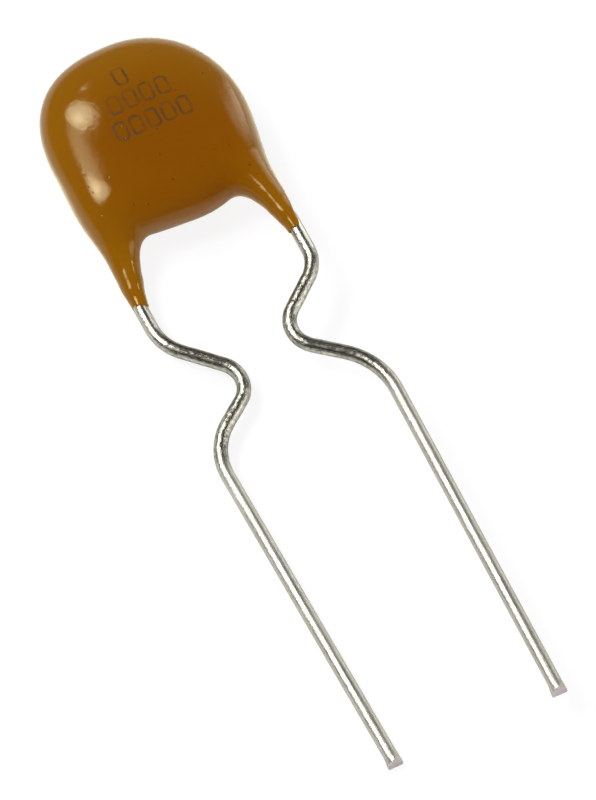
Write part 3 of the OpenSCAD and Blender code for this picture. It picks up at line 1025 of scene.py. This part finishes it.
class FUSE_OT_stage(bpy.types.Operator):
    """Set up the floor, lamps, surround and camera"""

    bl_idname = "fuse.stage"
    bl_label = "Stage"

    def execute(self, context):
        scene = context.scene
        _, _, rest = setup()
        studio = read(scene.fuse_studio)
        floor_and_backdrop(studio)
        upper, lower = np.array([-0.19, 0.6, 0.755]), np.array([-0.5, 0.24, 0.83])
        sideways = (0.32, -0.15, 0.2)
        # Name, direction, long side, size in millimetres, brightness and evenly bright share
        lamps = (
            ("neck softbox", (-0.4, 0.42, 0.8), upper - lower, (190, 132), 5.7, 0.2),
            ("upper softbox", upper, sideways, (140, 84), 13.4, 0.65),
            ("upper bulb", (-0.205, 0.572, 0.794), sideways, (84, 66), 10.9, 0.1),
            ("lower softbox", lower, sideways, (172, 106), 12.6, 0.65),
            ("lower bulb", (-0.528, 0.274, 0.804), sideways, (100, 68), 10.9, 0.1),
            ("small bulb", (-0.02, 0.772, 0.636), sideways, (24, 16), 12.6, 0.5),
            ("side softbox", (0.9, 0.41, 0.12), (0, 0, 1), (420, 84), 4.2, 0.1),
            ("side bulb", (0.74, 0.42, 0.52), (0, 0, 1), (150, 44), 2.5, 0.1),
            ("streak bulb", (0.78, -0.11, 0.62), (-0.62, 0.0, 0.78), (70, 54), 11.8, 0.2),
            ("right softbox", (0.82, -0.46, 0.36), (-0.4, 0.2, 0.89), (260, 180), 3.2, 0.5),
        )
        for values in lamps:
            lamp(rest, studio, *values)
        lamp(rest, studio, "front fill", (0.05, -0.9, 0.43), (1, 0, 0), (300, 240), 5.0, 0.3, reflects=False)
        world = bpy.data.worlds.new("surround")
        world.use_nodes = True
        shade = world.node_tree.nodes["Background"].inputs
        shade["Color"].default_value = (1.0, 0.99, 0.975, 1.0)
        shade["Strength"].default_value = studio.surround
        scene.world = world
        scene.view_settings.view_transform = "Standard"
        set_camera(scene, studio, rest)
        return {"FINISHED"}


def floor_and_backdrop(studio):
    """One round pale floor that sweeps up into a low rim far away."""
    reach, rim = studio.floor_size * MM, studio.floor_rim * MM
    rim_steps, sides = 10, 96
    outline = [(0.0, 0.0), (0.1, 0.0), (0.4, 0.0)]
    for a in np.linspace(0, math.pi / 2, rim_steps):
        outline.append((reach - rim + rim * math.sin(a), rim * (1 - math.cos(a))))
    points, faces = [], []
    for radius, height in outline:
        for k in range(sides):
            a = 2 * math.pi * k / sides
            points.append((radius * math.cos(a), radius * math.sin(a), height))
    for inner in range(0, (len(outline) - 1) * sides, sides):
        outer = inner + sides
        for k in range(sides):
            n = (k + 1) % sides
            faces.append((inner + k, outer + k, outer + n, inner + n))
    mesh = new_mesh("floor", points, faces)
    mesh.materials.append(floor_material())
    link_object("floor", mesh)


def set_camera(scene, studio, rest):
    e, a = studio.camera_tilt, studio.camera_swing
    level = np.array([math.cos(a), -math.sin(a), 0])
    rise = np.array([math.sin(a) * math.sin(e), math.cos(a) * math.sin(e), math.cos(e)])
    back = np.cross(level, rise)
    c, s = math.cos(studio.camera_roll), math.sin(studio.camera_roll)
    right, up = level * c + rise * s, rise * c - level * s
    data = bpy.data.cameras.new("camera")
    data.sensor_width = 36.0
    data.lens = studio.camera_lens
    distance = studio.view_height * MM * data.lens / data.sensor_width
    data.clip_start, data.clip_end = distance * 0.02, distance * 20
    made = bpy.data.objects.new("camera", data)
    scene.collection.objects.link(made)
    columns = [rest.direction(v) for v in (right, up, back)]
    turn = Matrix(np.array(columns).T.tolist())
    target = Vector(rest.place([0.199, -11.29, 0.0]))
    place = target + Vector(columns[2]) * distance
    made.matrix_world = Matrix.Translation(place) @ turn.to_4x4()
    scene.camera = made


# ---- Add-on ----


class FUSE_PT_panel(bpy.types.Panel):
    """Lists the pieces and their sizes"""

    bl_idname = "FUSE_PT_panel"
    bl_label = "Resettable fuse"
    bl_space_type = "VIEW_3D"
    bl_region_type = "UI"
    bl_category = "Fuse"

    def draw(self, context):
        layout = self.layout
        for operator in OPERATORS:
            layout.operator(operator.bl_idname)
        for group in (context.scene.fuse_coating, context.scene.fuse_leads, context.scene.fuse_studio):
            box = layout.box()
            for p in group.bl_rna.properties:
                if p.identifier not in ("rna_type", "name"):
                    box.prop(group, p.identifier)


GROUPS = (FuseCoating, FuseLeads, FuseStudio)
OPERATORS = (FUSE_OT_coating, FUSE_OT_leads, FUSE_OT_inside, FUSE_OT_stage)
CLASSES = (*GROUPS, *OPERATORS, FUSE_PT_panel)


def register():
    for cls in CLASSES:
        bpy.utils.register_class(cls)
    bpy.types.Scene.fuse_coating = PointerProperty(type=FuseCoating)
    bpy.types.Scene.fuse_leads = PointerProperty(type=FuseLeads)
    bpy.types.Scene.fuse_studio = PointerProperty(type=FuseStudio)


def unregister():
    del bpy.types.Scene.fuse_studio
    del bpy.types.Scene.fuse_leads
    del bpy.types.Scene.fuse_coating
    for cls in reversed(CLASSES):
        bpy.utils.unregister_class(cls)


def main():
    register()
    mottling_group()
    speck_group()
    mark_row_group()
    bpy.ops.fuse.coating()
    bpy.ops.fuse.leads()
    bpy.ops.fuse.inside()
    bpy.ops.fuse.stage()


if __name__ == "__main__":
    main()
